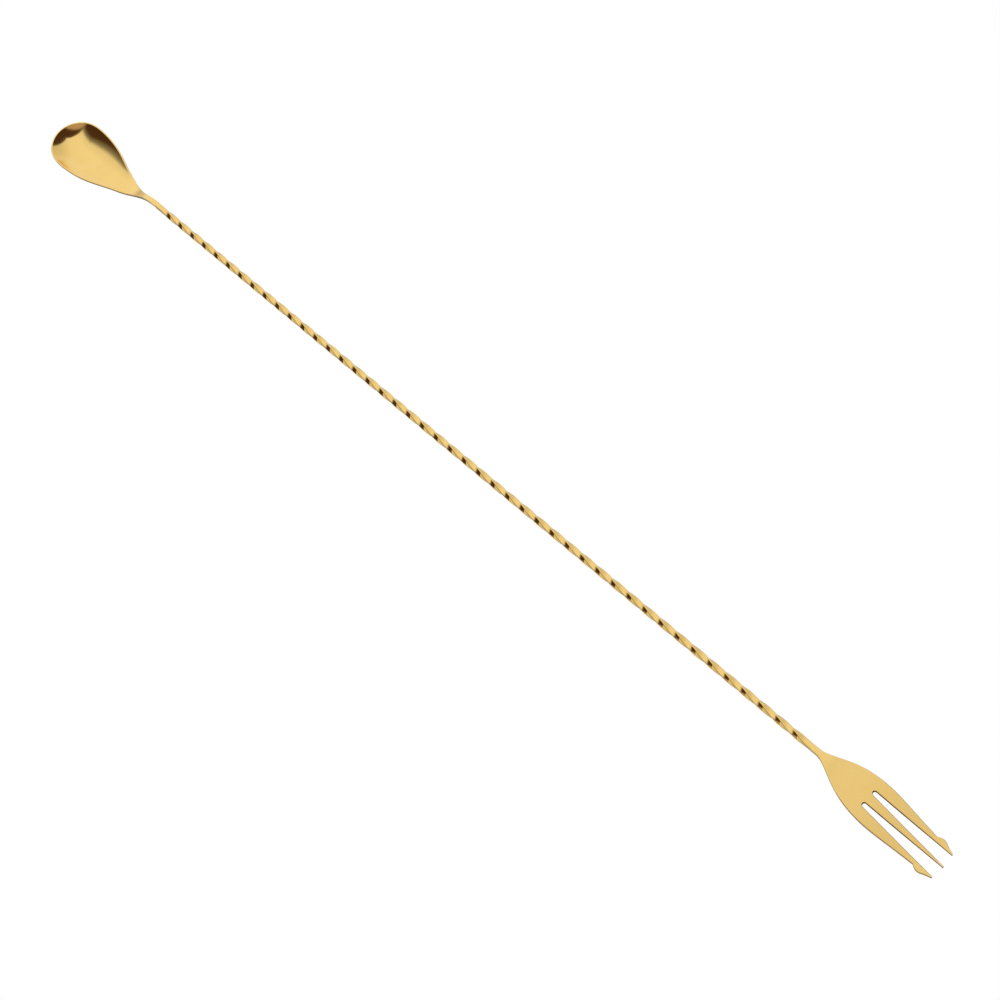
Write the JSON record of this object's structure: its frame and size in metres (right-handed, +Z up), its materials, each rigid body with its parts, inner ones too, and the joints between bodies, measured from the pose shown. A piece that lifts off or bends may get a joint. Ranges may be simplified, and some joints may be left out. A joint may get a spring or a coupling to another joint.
{
  "type": "bar spoon",
  "caption": "Long-handled bar spoon: teardrop bowl, tightly twisted square bar and a flat barbed fork end, for stirring, layering and picking up garnishes.",
  "frame": {"origin": "under the middle of the spoon, on the surface that it lies on (centre of the bounding box's bottom)", "axes": "+X along the bar from the bowl to the fork, +Z up with the bowl opening upwards, +Y across"},
  "size_m": [0.5, 0.0242, 0.0151],
  "materials": {
    "gold_plating": "polished gold-coloured plating over stainless steel"
  },
  "bodies": {
    "root": {"spoon_bowl": "gold_plating", "bowl_weld": "gold_plating", "twisted_shaft": "gold_plating", "fork_weld": "gold_plating", "trident_fork": "gold_plating"}
  },
  "joints": []
}
